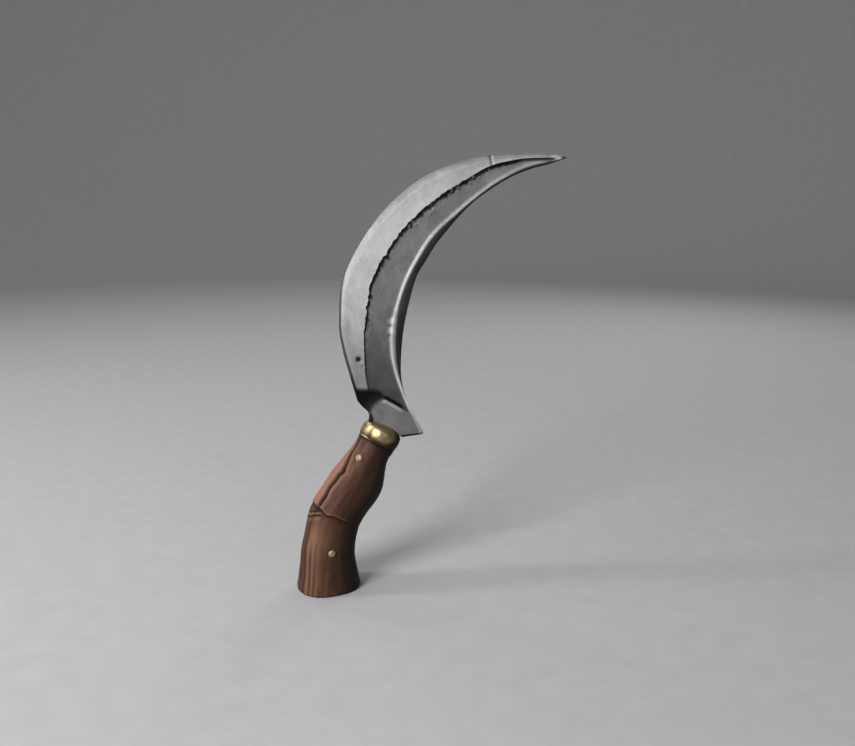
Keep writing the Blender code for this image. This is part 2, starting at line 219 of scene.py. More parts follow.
class Finish:
    """A node material written one node at a time."""

    def __init__(self, name):
        self.made = bpy.data.materials.new(name)
        self.made.use_nodes = True
        self.tree = self.made.node_tree
        self.shader = self.tree.nodes["Principled BSDF"]

    def node(self, kind, inputs=None, **settings):
        node = self.tree.nodes.new("ShaderNode" + kind)
        for key, value in settings.items():
            setattr(node, key, value)
        for key, value in (inputs or {}).items():
            self.feed(node.inputs[key], value)
        return node

    def feed(self, socket, value):
        if isinstance(value, bpy.types.NodeSocket):
            self.tree.links.new(value, socket)
        else:
            socket.default_value = value

    def attribute(self, name, output="Fac"):
        return self.node("Attribute", attribute_name=name).outputs[output]

    def noise(self, where, scale, detail, roughness):
        inputs = {"Vector": where, "Scale": scale, "Detail": detail, "Roughness": roughness}
        return self.node("TexNoise", inputs).outputs["Fac"]

    def stretch(self, where, scale):
        return self.node("Mapping", {"Vector": where, "Scale": scale}).outputs["Vector"]

    def ramp(self, value, *stops):
        """Colour or grey by value: stops of (position, (r, g, b))."""
        node = self.node("ValToRGB", {"Fac": value})
        marks = node.color_ramp.elements
        while len(marks) < len(stops):
            marks.new(0.5)
        for mark, (position, colour) in zip(marks, stops):
            mark.position = position
            mark.color = (*colour, 1)
        return node.outputs["Color"]

    def math(self, operation, a, b, clamp=False):
        return self.node("Math", {0: a, 1: b}, operation=operation, use_clamp=clamp).outputs[0]

    def blend(self, share, a, b, mode="MIX"):
        node = self.node("Mix", data_type="RGBA", blend_type=mode)
        for socket, value in ((node.inputs["Factor"], share), (node.inputs[6], a), (node.inputs[7], b)):
            if isinstance(value, tuple):
                value = (*value, 1)
            self.feed(socket, value)
        return node.outputs[2]

    def range(self, value, low, high, to_low, to_high):
        inputs = {"Value": value, "From Min": low, "From Max": high, "To Min": to_low, "To Max": to_high}
        return self.node("MapRange", inputs).outputs["Result"]

    def finish(self, colour, roughness, heights, **others):
        """Sets the shader; heights are (height, distance in m) from coarse to fine."""
        self.feed(self.shader.inputs["Base Color"], colour)
        self.feed(self.shader.inputs["Roughness"], roughness)
        for key, value in others.items():
            self.feed(self.shader.inputs[key.replace("_", " ")], value)
        normal = None
        for height, distance in heights:
            inputs = {"Height": height, "Distance": distance, "Strength": 1.0}
            if normal:
                inputs["Normal"] = normal
            normal = self.node("Bump", inputs).outputs["Normal"]
        self.feed(self.shader.inputs["Normal"], normal)
        return self.made


def steel_finish():
    """Forged steel: its wear and grime, with painted highlights and painted shade, come from the blade's own
    zones.
    """
    steel = Finish("worn_steel")
    place = steel.attribute("place", "Vector")  # along, across, side, in mm
    polish_and_painted_light = steel.attribute("polish_and_painted_light")
    grime_and_painted_shade = steel.attribute("grime_and_painted_shade")
    clouds = steel.noise(place, 0.045, 5.0, 0.6)
    mottle = steel.noise(place, 0.35, 6.0, 0.65)
    grinding = steel.noise(steel.stretch(place, (4.0, 0.12, 1.0)), 1.0, 3.0, 0.5)
    specks = steel.noise(place, 1.4, 2.0, 0.5)
    tone = steel.math("ADD", polish_and_painted_light, steel.range(clouds, 0.3, 0.7, -0.06, 0.06))
    tone = steel.math("ADD", tone, steel.range(mottle, 0.3, 0.7, -0.04, 0.04), clamp=True)
    base = steel.ramp(tone, (0.0, (0.022, 0.022, 0.024)), (0.35, (0.125, 0.125, 0.127)),
                      (0.7, (0.40, 0.40, 0.405)), (1.0, (0.78, 0.78, 0.78)))
    base = steel.blend(steel.range(grinding, 0.35, 0.75, 0.0, 0.20), base, (0.9, 0.9, 0.9), "MULTIPLY")
    pits = steel.range(specks, 0.66, 0.74, 0.0, 0.35)
    base = steel.blend(pits, base, (0.05, 0.045, 0.04))
    base = steel.blend(grime_and_painted_shade, base, (0.010, 0.009, 0.008))
    rough = steel.range(tone, 0.0, 1.0, 0.66, 0.42)
    rough = steel.math("ADD", rough, steel.range(mottle, 0.3, 0.7, -0.05, 0.05), clamp=True)
    return steel.finish(base, rough, [(clouds, 0.0007), (mottle, 0.00012), (grinding, 0.00003)],
                        Metallic=steel.range(grime_and_painted_shade, 0.3, 1.0, 0.45, 0.9))


def wood_finish():
    """Dark oiled hardwood with long grain that follows the bend of the grip."""
    wood = Finish("handle_wood")
    grain = wood.attribute("grain", "Vector")  # across, depth, along, in mm
    shade_and_dark_grain = wood.attribute("shade_and_dark_grain")
    worn = wood.attribute("worn")
    warm = wood.attribute("warm")
    side_shade = wood.attribute("side_shade")
    streaks = wood.noise(wood.stretch(grain, (0.42, 0.42, 0.022)), 1.0, 5.0, 0.6)
    fibres = wood.noise(wood.stretch(grain, (2.6, 2.6, 0.07)), 1.0, 4.0, 0.6)
    pores = wood.noise(wood.stretch(grain, (5.0, 5.0, 0.35)), 1.0, 2.0, 0.5)
    clouds = wood.noise(grain, 0.07, 3.0, 0.5)
    tone = wood.math("ADD", wood.math("MULTIPLY", streaks, 0.7), wood.math("MULTIPLY", fibres, 0.3))
    base = wood.ramp(tone, (0.32, (0.030, 0.013, 0.008)), (0.46, (0.056, 0.025, 0.016)),
                     (0.58, (0.088, 0.040, 0.023)), (0.72, (0.130, 0.064, 0.037)))
    base = wood.blend(wood.range(clouds, 0.35, 0.7, 0.0, 0.45), base, (0.058, 0.024, 0.017))
    # Next come a warmer back strip that is partly painted light, painted shade on the finger side, lighter
    # wear streaks with painted highlights, and painted shade with the dark joint and dark streaks.
    base = wood.blend(warm, base, (0.215, 0.096, 0.068))
    base = wood.blend(side_shade, base, (0.015, 0.0085, 0.006))
    base = wood.blend(worn, base, (0.200, 0.108, 0.060))
    dark_pores = wood.range(pores, 0.62, 0.72, 0.0, 0.3)
    base = wood.blend(dark_pores, base, (0.014, 0.007, 0.006))
    base = wood.blend(shade_and_dark_grain, base, (0.008, 0.004, 0.003))
    rough = wood.range(streaks, 0.3, 0.7, 0.68, 0.54)
    return wood.finish(base, rough, [(streaks, 0.0004), (fibres, 0.00010), (pores, 0.00006)],
                       Specular_IOR_Level=0.12)


def brass_finish(name, worn, metal, smooth):
    """Old brass, bright on its rounds and darkened in its hollows by painted shade and some tarnish."""
    brass = Finish(name)
    place = brass.node("NewGeometry").outputs["Position"]
    grime_and_painted_shade = brass.attribute("grime_and_painted_shade")
    clouds = brass.noise(place, 150.0, 4.0, 0.6)
    dents = brass.noise(place, 170.0, 1.0, 0.4)
    scratches = brass.noise(brass.stretch(place, (300.0, 2600.0, 700.0)), 1.0, 3.0, 0.6)
    tints = ((0.30, (0.42, 0.29, 0.12)), (0.50, (0.64, 0.48, 0.24)), (0.72, (0.86, 0.72, 0.43)))
    base = brass.ramp(clouds, *((place_on, tuple(worn * c for c in tint)) for place_on, tint in tints))
    base = brass.blend(grime_and_painted_shade, base, (0.022, 0.015, 0.008))
    rough = brass.range(clouds, 0.3, 0.7, smooth + 0.14, smooth)
    rough = brass.math("ADD", rough, brass.math("MULTIPLY", grime_and_painted_shade, 0.3), clamp=True)
    return brass.finish(base, rough, [(dents, 0.0005), (clouds, 0.00015), (scratches, 0.00002)],
                        Metallic=metal)


# -------- blade

NECK_ROWS, BASE_ROWS, BLADE_ROWS = 36, 80, 400
BASE_SHARE = 0.1  # the rows are closer together up to this share of the blade
BAND_COLUMNS, FULLER_COLUMNS, BEVEL_COLUMNS = 28, 48, 16
CROWD = 0.6  # how much the columns crowd towards both sides of their zone
STEP_RUN = 350  # mm along the step, for the noise that breaks it
NOISE_APART, PLACE_APART = 40.0, 30.0  # mm from the middle to each face's patterns, so that they differ
LOOSE_FLAKES = 24
FULLER_DEEP, SCOOP_DEEP, RISER_DEEP = 0.95, 1.45, 0.25  # mm
THINNEST, EDGE_HALF = 0.08, 0.10  # half thicknesses in mm


def line_distance(x, z, line):
    """Distance in mm from a line, positive on its left, and the share along it."""
    best = np.full(x.shape, np.inf)
    signed, share = np.zeros(x.shape), np.zeros(x.shape)
    line = np.array(line, float)
    lengths = np.linalg.norm(np.diff(line, axis=0), axis=1)
    before = 0
    for a, b, length in zip(line, line[1:], lengths):
        dx, dz = (b - a) / length
        along = (x - a[0]) * dx + (z - a[1]) * dz
        part = np.clip(along, 0, length)
        left = dx * (z - a[1]) - dz * (x - a[0])
        apart = np.hypot(x - a[0] - part * dx, z - a[1] - part * dz)
        near = apart < best
        best = np.where(near, apart, best)
        signed = np.where(near, np.copysign(apart, left), signed)
        share = np.where(near, (before + part) / lengths.sum(), share)
        before += length
    return signed, share


def spread(count):
    """Shares from 0 to 1 that crowd towards both ends."""
    even = np.linspace(0, 1, count)
    return ((1 - CROWD) * even + CROWD * (0.5 - 0.5 * np.cos(math.pi * even)))[:, None]


def blade_lines():
    """Spine, step, rib and edge points for every row from the foot to the tip."""
    share = np.concatenate([np.linspace(0, BASE_SHARE, BASE_ROWS, endpoint=False),
                            np.linspace(BASE_SHARE, 1, BLADE_ROWS)])
    even = np.linspace(0, 1, 2000)
    lines = []
    for line in (SPINE_LINE, STEP_LINE, RIB_LINE, EDGE_LINE):
        path = smooth_path(line, len(even))
        lines.append(np.column_stack([np.interp(share, even, column) for column in path.T]))
    spine, step, rib, edge = lines
    at = np.column_stack([share * STEP_RUN, np.zeros(len(share)), np.zeros(len(share))])
    # The step is ragged where the upper layer has broken away along it.
    ragged = 0.40 * rough_noise(at, 2.6, 11, 2) + 0.35 * value_noise(at, 9.0, 15)
    ragged *= 0.25 + 0.75 * ease(share, 0.16, 0.24)
    ragged += sum(size * bump(share - where, wide) for where, size, wide in STEP_CHIPS)
    ragged *= 1 - ease(share, 0.66, 0.74)
    ragged -= np.interp(share, *np.array(STEP_BREAK).T)
    step = step + unit(step - spine) * ragged[:, None]
    return share, spine, step, rib, edge


def blade_surface():
    """Points of one face, row by column, with each row's share and its four lines."""
    share, spine, step, rib, edge = blade_lines()
    neck = smooth_path(NECK_LINE, NECK_ROWS)[1:]
    foot = np.array(FOOT_LINE, float)
    # Each row has five marks: outer side, step, middle, rib and edge. The neck comes first.
    starts = (step[0], (step[0] + rib[0]) / 2, rib[0], edge[0])
    marks = []
    for row in range(NECK_ROWS - 2, -1, -1):
        part = (row + 1) / (NECK_ROWS - 1)
        marks.append((neck[row], *(a + (b - a) * part for a, b in zip(starts, foot[1:]))))
    marks += zip(spine, step, (step + rib) / 2, rib, edge)
    band, fuller, bevel = (spread(count) for count in (BAND_COLUMNS, FULLER_COLUMNS, BEVEL_COLUMNS))
    twice = 2 * fuller[1:]
    rows = []
    for o, s, m, r, e in marks:
        inner = np.where(twice < 1, s + (m - s) * twice, m + (r - m) * (twice - 1))
        rows.append(np.vstack([o + (s - o) * band, inner, r + (e - r) * bevel[1:]]))
    share = np.concatenate([np.zeros(NECK_ROWS - 1), share])[:, None]
    spine, step, _, rib, edge = np.array(marks).swapaxes(0, 1)[:, :, None]
    return np.array(rows), share, spine, step, rib, edge


class Face:
    """One face of the blade: half thickness in mm, and how polished and how grimy it is, with painted
    highlights and painted shade, at each point.
    """

    def __init__(self, points, share, spine, step, rib, edge, side):
        column = np.broadcast_to(np.arange(points.shape[1]), points.shape[:2])
        self.band = column < BAND_COLUMNS
        self.bevel = column >= BAND_COLUMNS + FULLER_COLUMNS - 1
        self.fuller = ~self.band & ~self.bevel
        self.from_spine, self.from_step, self.from_rib, self.from_edge = (
            np.linalg.norm(points - line, axis=2) for line in (spine, step, rib, edge))
        self.band_wide = np.linalg.norm(step - spine, axis=2)
        self.bevel_wide = np.linalg.norm(edge - rib, axis=2) + 1e-6
        self.t, self.side = share, side
        self.x, self.z = points[..., 0], points[..., 1]
        self.where = np.stack([self.x, np.full_like(self.x, NOISE_APART * side), self.z], axis=2)
        self.shoulder, self.on_shoulder = line_distance(self.x, self.z, SHOULDER_LINE)
        self.over_scoop, _ = line_distance(self.x, self.z, SCOOP_TOP)
        self.lower = 1 - ease(self.z, 178, 198)

    def spot(self, x, z, size):
        return bump(np.hypot(self.x - x, self.z - z), size)

    def forge(self):
        """The band, the fuller and the bevel, as they were hammered and ground."""
        thick = HALF_THICK_BASE + (HALF_THICK_TIP - HALF_THICK_BASE) * self.t**1.5
        thick = np.broadcast_to(thick, self.x.shape)
        run_in = 4.5 - 3.9 * ease(self.on_shoulder, 0.36, 0.46)
        deep = FULLER_DEEP * ease(self.shoulder / run_in, 0, 1) * (1 - 0.75 * ease(self.t, 0.82, 0.97))
        deep = np.minimum(deep, 0.5 * thick)
        half = thick.copy()
        chamfer = np.minimum(3.6, 0.4 * self.band_wide) * ease(self.z, 128, 150) + 0.4
        fall = 1 - np.sqrt(np.clip(1 - (1 - np.clip(self.from_spine / chamfer, 0, 1)) ** 2, 0, 1))
        half -= 0.62 * thick * fall * self.band
        ground = np.clip((self.from_spine - chamfer) / np.maximum(self.band_wide - chamfer, 1e-6), 0, 1)
        hollow = np.sin(ground * math.pi)
        half -= 0.12 * hollow * self.band * (self.band_wide > 5)
        drop = ease(self.from_step, 0.02, 0.42)
        rise = 1 - ease(self.from_rib, 0.6, 3.0 + 2.5 * self.lower)
        across = self.from_step / (self.from_step + self.from_rib + 1e-6)
        half -= (deep * drop * (1 - rise) + 0.25 * deep * np.sin(across * math.pi)) * self.fuller
        down = np.clip(self.from_rib / self.bevel_wide, 0, 1)
        bevel = thick * (0.06 + 0.94 * (1 - down) ** 1.1) - 0.10 * np.sin(down * math.pi)
        half = np.where(self.bevel, bevel, half)
        # The fuller runs out to the left, through a hollow under the band's end.
        scoop = ease(self.shoulder, 0, 5.5) * (1 - ease(self.over_scoop, -5.5, 1.0))
        scoop = scoop * (1 - ease(self.from_step, 3, 9) * self.fuller)
        half = np.minimum(half, HALF_THICK_BASE - SCOOP_DEEP * scoop * (1 - self.bevel))
        self.riser = ease(self.on_shoulder, 0.40, 0.47) * (1 - ease(self.on_shoulder, 0.80, 0.92))
        self.foot = (1 - ease(np.abs(self.shoulder - 1.2), 0.9, 1.5)) * self.riser
        half -= RISER_DEEP * self.foot
        # Painted shade for the hollow under the band's end.
        self.hollow_shade = (ease(self.shoulder, -2.5, 2.5) * (1 - ease(self.over_scoop, -3.0, 1.8))
                      * (1 - ease(self.from_step, 9, 17) * ~self.band) * (1 - self.riser))
        self.half = half

    def shade(self):
        """How bright each zone is worn, with painted highlights, and where painted shade darkens it."""
        # Painted shade: the band and the fuller are painted darker towards the bottom, as the light falls off
        # there; the band darkens towards the tip too.
        low = 1 - ease(self.z, 130, 235)
        band = 1.0 - 0.42 * low - 0.14 * ease(self.z, 245, 285)
        fuller = 0.50 - 0.19 * low - 0.12 * (1 - ease(self.z, 136, 165))
        # Painted shade darkens the bevel, which faces away from the light, to black at the edge; low down a
        # painted highlight carries the rib's on down the bevel.
        down = np.clip(self.from_rib / self.bevel_wide, 0, 1)
        bevel = 0.05 + 0.24 * (1 - ease(down, 0.1, 0.65)) + 0.62 * (1 - ease(self.z, 132, 144))
        ricasso = 0.40 + 0.10 * ease(self.x, 34, 52)
        self.polish_and_painted_light = np.where(self.band, band, np.where(self.bevel, bevel, fuller))
        flat = (1 - ease(self.shoulder, -0.3, 0.5)) * (1 - self.bevel)
        self.polish_and_painted_light += (ricasso - self.polish_and_painted_light) * flat
        # A painted highlight runs beside the rib on the flat, with a darker line 4 mm out from the rib.
        self.polish_and_painted_light += 0.30 * (1 - ease(self.from_rib, 0.8, 3.6)) * flat
        self.grime_and_painted_shade = 0.18 * bump(self.from_rib - 4.0, 0.6) * flat * (1 - self.band)
        # A painted highlight along the shoulder's lip and on one spot by it, painted shadow at the foot of
        # its riser, and painted shade in the hollow under the band's end.
        self.polish_and_painted_light += 0.30 * bump(self.shoulder + 1.4, 1.1) * self.riser + 0.2 * self.spot(41.5, 128.8, 1.4)
        self.grime_and_painted_shade += 0.96 * self.foot + 0.96 * self.hollow_shade
        self.polish_and_painted_light *= 1 - 0.9 * self.hollow_shade
        # Painted shade along the heel's lower edge.
        self.grime_and_painted_shade += 0.9 * (1 - ease(self.z, 102.7, 103.7)) * (self.x > 54)
        # Painted shade along the spine's edge at the neck, low down.
        neck = (1 - ease(self.from_spine, 0.2, 1.1)) * (1 - ease(self.z, 136, 150))
        self.grime_and_painted_shade += 0.9 * neck
        # The spine has a painted dark outline of shade, a chamfer painted dimmer, and a painted highlight on
        # the crest at the chamfer's inner side.
        high = ease(self.z, 212, 240)
        outline = 1.3 + 1.7 * (1 - ease(self.z, 150, 182))
        outlined = (1 - ease(self.from_spine, 0.4 * outline, outline)) * self.band
        self.grime_and_painted_shade += (0.85 - 0.35 * ease(self.z, 225, 275)) * outlined
        self.polish_and_painted_light -= (0.05 + 0.12 * high) * (1 - ease(self.from_spine, 2.2, 3.6)) * self.band
        crest = high * (1 - ease(self.z, 262, 280))
        self.polish_and_painted_light += 0.14 * bump(self.from_spine - 4.0, 0.5) * self.band * crest
        # The rib gets a painted highlight, brightest low down, with a soft left side.
        wide = np.where(self.bevel, 0.8 + 1.7 * self.lower, 2.2 + 1.9 * self.lower)
        bright = 1 - ease(self.from_rib, (0.35 + 0.2 * self.lower) * wide, wide)
        bright = bright * ease(self.shoulder, -3, 2) * (1 - 0.4 * ease(self.t, 0.72, 0.85))
        self.polish_and_painted_light += (0.80 - self.polish_and_painted_light) * bright
        # Painted shadow lies under the step, most of it high up.
        reach = 1.8 + 1.3 * ease(self.z, 165, 200) + 0.8 * value_noise(self.where, 1.9, 33)
        reach = reach + sum(size * bump(self.t - at, wide) for at, size, wide in STEP_TEETH)
        step_shadow = (1 - ease(self.from_step, 0.6 * reach, 1.35 * reach)) * self.fuller
        self.grime_and_painted_shade += 0.92 * step_shadow * ease(self.z, 143, 162) * (1 - ease(self.t, 0.80, 0.88))
        # A painted dark outline of shade along the cutting edge.
        edge = (1 - ease(self.from_edge, 0.3, 1.1)) * ease(self.z, 140, 160)
        self.grime_and_painted_shade += 0.8 * edge * self.bevel
        self.polish_and_painted_light += 0.05 * rough_noise(self.where, 14.0, 31, 3)

    def wear(self):
        """Chips beside the step, pits, lumps on the rib and the marks by the tip, with painted highlights and
        painted shade on them.
        """
        rng = np.random.default_rng(5 + (self.side > 0))
        chips = list(FLAKES)
        rows = len(self.x)
        for _ in range(LOOSE_FLAKES):
            i = int(rows * rng.uniform(0.52, 0.80))
            j = BAND_COLUMNS + int(rng.uniform(5, 17))
            chips.append((self.x[i, j], self.z[i, j], rng.uniform(0.6, 1.4)))
        # Each chip is raised where a painted highlight lies on its upper left, and sunk where painted shade
        # lies on its lower right.
        for x, z, size in chips:
            ripple = 0.35 * size * value_noise(self.where, 1.5, 35)
            lit = bump(np.hypot(self.x - x + 0.4 * size, self.z - z - 0.4 * size) + ripple, 0.75 * size)
            shaded = bump(np.hypot(self.x - x - 0.6 * size, self.z - z + 0.6 * size) + ripple, 0.8 * size)
            self.half += (0.14 * lit - 0.14 * shaded) * self.fuller
            self.polish_and_painted_light += 0.26 * lit * self.fuller
            self.grime_and_painted_shade = self.grime_and_painted_shade * (1 - 0.6 * lit) + 0.55 * shaded * self.fuller
        # Pits are sunk and darkened, with a painted highlight on the wall that faces the light.
        for x, z, size, deep, dark in PITS:
            self.half -= deep * self.spot(x, z, size)
            self.grime_and_painted_shade += dark * self.spot(x, z, size)
            self.polish_and_painted_light += 0.12 * self.spot(x + size, z - 1.2 * size, size)
        # Lumps on the rib get a painted highlight, and the dent beside each gets painted shade.
        for x, z in RIB_LUMPS:
            self.half += 0.28 * self.spot(x, z, 2.2)
            self.polish_and_painted_light += 0.30 * self.spot(x, z, 2.3)
            self.half -= 0.25 * self.spot(x - 0.9, z - 3.3, 0.9)
            self.grime_and_painted_shade += 0.55 * self.spot(x - 0.9, z - 3.3, 1.1)
        # The nick is a groove with painted shade in it and a painted highlight beside it.
        nick, _ = line_distance(self.x, self.z, NICK_LINE)
        inside = self.band * (self.z > 285)
        self.half -= 0.30 * bump(nick, 0.8) * inside
        self.grime_and_painted_shade += 0.60 * bump(nick, 0.8) * inside
        self.polish_and_painted_light += 0.25 * bump(nick - 1.6, 0.8) * inside
        # Past the nick the fuller closes to a dark wedge; a painted highlight lies just short of the point,
        # and the point itself is dark.
        wedge = ease(self.t, 0.77, 0.82) * self.fuller * (1 - ease(self.t, 0.955, 0.975))
        self.grime_and_painted_shade += 0.8 * wedge * (1 - ease(self.from_step, 1.2, 3.4))
        self.polish_and_painted_light += 0.25 * bump(self.t - 0.968, 0.014)
        self.grime_and_painted_shade += 0.8 * ease(self.t, 0.981, 0.99)

    def settle(self):
        """Uneven forging, then clean limits."""
        rough = (0.04 + 0.07 * self.fuller) * rough_noise(self.where, 9.0, 41 + self.side, 4)
        half = np.maximum(self.half + rough * ease(self.shoulder, -2, 3), THINNEST)
        half = np.where(self.from_edge < 1e-6, EDGE_HALF, half)
        return half, np.clip(self.polish_and_painted_light, 0, 1), np.clip(self.grime_and_painted_shade, 0, 0.97)


def blade_face(surface, side):
    face = Face(*surface, side)
    face.forge()
    face.shade()
    face.wear()
    return face.settle()


def tang_shell():
    """Points and faces of the bar that runs down inside the handle."""
    path = smooth_path(TANG_STATIONS, 60)
    along = unit(np.gradient(path[:, :2], axis=0))
    corners = ((-1, -0.7), (-0.9, -1), (0.9, -1), (1, -0.7), (1, 0.7), (0.9, 1), (-0.9, 1), (-1, 0.7))
    points = [(x + a * wide * dz, b * thick, z - a * wide * dx)
              for (x, z, wide, thick), (dx, dz) in zip(path, along) for a, b in corners]
    return points, tube_faces(len(path), len(corners))


def make_blade(finish):
    surface = blade_surface()
    points, _, spine, _, _, _ = surface
    rows, columns, _ = points.shape
    along = distances(points[:, BAND_COLUMNS])
    across = np.linalg.norm(points - spine, axis=2)
    shell, polish_and_painted_light, grime_and_painted_shade, place = [], [], [], []
    for side in (-1, 1):
        half, bright, dirt_and_shade = blade_face(surface, side)
        shell.append(np.stack([points[..., 0], side * half, points[..., 1]], axis=2).reshape(-1, 3))
        polish_and_painted_light.append(bright.ravel())
        grime_and_painted_shade.append(dirt_and_shade.ravel())
        place.append(np.stack([np.broadcast_to(along[:, None], across.shape), across,
                               np.full_like(across, PLACE_APART * side)], axis=2).reshape(-1, 3))
    count = rows * columns
    faces = grid_faces(rows, columns)
    faces += [tuple(i + count for i in face[::-1]) for face in faces]
    rim = [(row, 0) for row in range(rows)] + [(rows - 1, column) for column in range(1, columns)]
    rim += [(row, columns - 1) for row in range(rows - 2, -1, -1)]
    rim += [(0, column) for column in range(columns - 2, 0, -1)]
    edge = [row * columns + column for row, column in rim]
    faces += [(a, b, b + count, a + count) for a, b in zip(edge, edge[1:] + edge[:1])]
    tang_points, tang_faces = tang_shell()
    faces += [tuple(i + 2 * count for i in face) for face in tang_faces]
    shell.append(np.array(tang_points))
    polish_and_painted_light.append(np.full(len(tang_points), 0.25))
    grime_and_painted_shade.append(np.full(len(tang_points), 0.4))
    place.append(np.array(tang_points) + (0, 60, 0))
    build("blade_worn", np.vstack(shell), faces, finish, "blade", 50,
          {"polish_and_painted_light": np.concatenate(polish_and_painted_light), "grime_and_painted_shade": np.concatenate(grime_and_painted_shade), "place": np.vstack(place)})


# -------- handle

GRIP_RINGS, ARC_POINTS = 330, 120
LAP = 53.3  # where the upper part of the grip laps over the lower, in mm along it
LAP_STEP = 0.5
TONGUE = 48.7  # where the tongue under the lap starts on the back
TONGUE_SLOPE, TONGUE_RISE = 0.32, 0.35
SLOT_DEEP, SLOT_WIDE = 0.4, 0.45  # of the slots over and under the tongue
STREAK_LEAN = 0.10
# Streaks of the lower grip: depth, mm wide, strength.
LIGHT_STREAKS = [(-10.2, 1.3, 0.55), (-13.6, 0.9, 0.60), (-15.9, 0.8, 0.35), (4.0, 1.2, 0.4)]
DARK_STREAKS = [(-12.1, 0.7, 0.35), (-14.8, 0.5, 0.30), (-7.7, 0.6, 0.40), (8.0, 1.0, 0.3)]


def grip_frame():
    """Centre and widths, direction, and distance along the grip for each ring."""
    path = smooth_path(GRIP_STATIONS, GRIP_RINGS)
    along = unit(np.gradient(path[:, :2], axis=0))
    along[0] = (0, 1)
    along[-1] = (math.sin(LEAN), math.cos(LEAN))
    return path, along, distances(path[:, :2])


def seam_angle(y, deep):
    """Angle round the section, from the front, at which its outside is at depth y."""
    return math.asin(math.copysign(abs(y / deep) ** (SQUARENESS / 2), y))


def scale_arc(side, deep, back):
    """Angles round one scale's outside, from the seam on the front to the one on the back."""
    front_angle = seam_angle(SEAM_Y + side * GAP / 2, deep)
    back_angle = seam_angle(back + side * GAP / 2, deep)
    return np.linspace(front_angle, side * math.pi - back_angle, ARC_POINTS)


def tang_beside(place, direction, tang):
    """Offset, half width and half thickness of the tang at one ring of the grip."""
    (x, z), (dx, dz) = place[:2], direction
    apart = np.abs((tang[:, 0] - x) * dx + (tang[:, 1] - z) * dz)
    nearest = apart.argmin()
    tx, tz, wide, thick = tang[nearest]
    buried = 1 - ease(apart[nearest], GAP, 2 * GAP)
    return (tx - x) * dz - (tz - z) * dx, wide, thick * buried


def parting_points(side, front, back, tang):
    """Inner corners of a scale's section, from the back seam to the front one."""
    (front_across, front_y), (back_across, back_y) = front, back
    offset, wide, thick = tang

    def on_parting(across):
        return back_y + (front_y - back_y) * (across - back_across) / (front_across - back_across)

    low, high = offset - wide - GAP, offset + wide + GAP
    corners = [(low, on_parting(low)), (high, on_parting(high))]
    if side > 0:
        floor = max(thick + GAP, 0.4) if thick > 0.1 else SEAM_Y + 2 * GAP
        corners[1:1] = [(low + 0.01, floor), (high - 0.01, floor)]
    return corners


def knuckle(across, depth, length):
    """Lift, painted shade and painted highlight of the lap at the knuckle and of the tongue below it."""
    waver = 0.6 * value_noise(np.stack([across, depth, 0 * depth], axis=-1), 5.0, 77)
    side_on = 1 - ease(across, 1.0, 6.0)
    lap = LAP - 0.3 - 0.9 * bump(across + 11.3, 2.8) + 0.6 * ease(across, 0, 4) + 0.5 * waver
    lap = lap + 0.6 * ease(-across, 14, 17)
    beyond = length - lap
    lift = side_on * LAP_STEP * ease(beyond, -0.3, 0.3) * np.exp(-np.maximum(beyond, 0) / 7.0)
    lift -= side_on * 0.30 * bump(beyond + 0.9, 0.9)
    # Painted shadow just under the lap's edge, and a painted highlight on the edge itself.
    dark = side_on * (0.85 * bump(beyond + 0.3, 0.45) + 0.40 * bump(beyond + 1.4, 1.3))
    light = side_on * 0.30 * bump(beyond - 0.8, 0.6)
    # The tongue lies on the back between two slots with painted shade in them and up to the lap, with a
    # painted highlight on its ledge and a lighter patch below it.
    above = length - (TONGUE - TONGUE_SLOPE * np.minimum(depth, 0))
    tongue = ease(-across, 13.8, 15.2) * (1 - ease(depth, 2, 7))
    over = bump(above - 1.05, SLOT_WIDE)
    under = bump(above + 0.95, SLOT_WIDE)
    lift += tongue * (TONGUE_RISE * bump(above, 0.55) - SLOT_DEEP * over - SLOT_DEEP * under)
    dark += tongue * (0.85 * over + 0.95 * under)
    dark += 0.10 * tongue * ease(above, 1.0, 1.6) * (1 - ease(beyond, -0.4, 0.2))
    light += tongue * (0.9 * bump(above, 0.5) + 0.35 * bump(above + 2.6, 0.8))
    return lift, dark, light


def lower_streaks(across, depth, length):
    """Light and dark streaks that lean a little, worn into the lower grip."""
    at = depth - STREAK_LEAN * length
    low = 1 - ease(length, 26, 38)
    near_back = ease(-across, 4, 9)
    light = sum(strength * bump(at - place, wide) for place, wide, strength in LIGHT_STREAKS)
    dark = sum(strength * bump(at - place, wide) for place, wide, strength in DARK_STREAKS)
    return low * near_back * light, low * near_back * dark


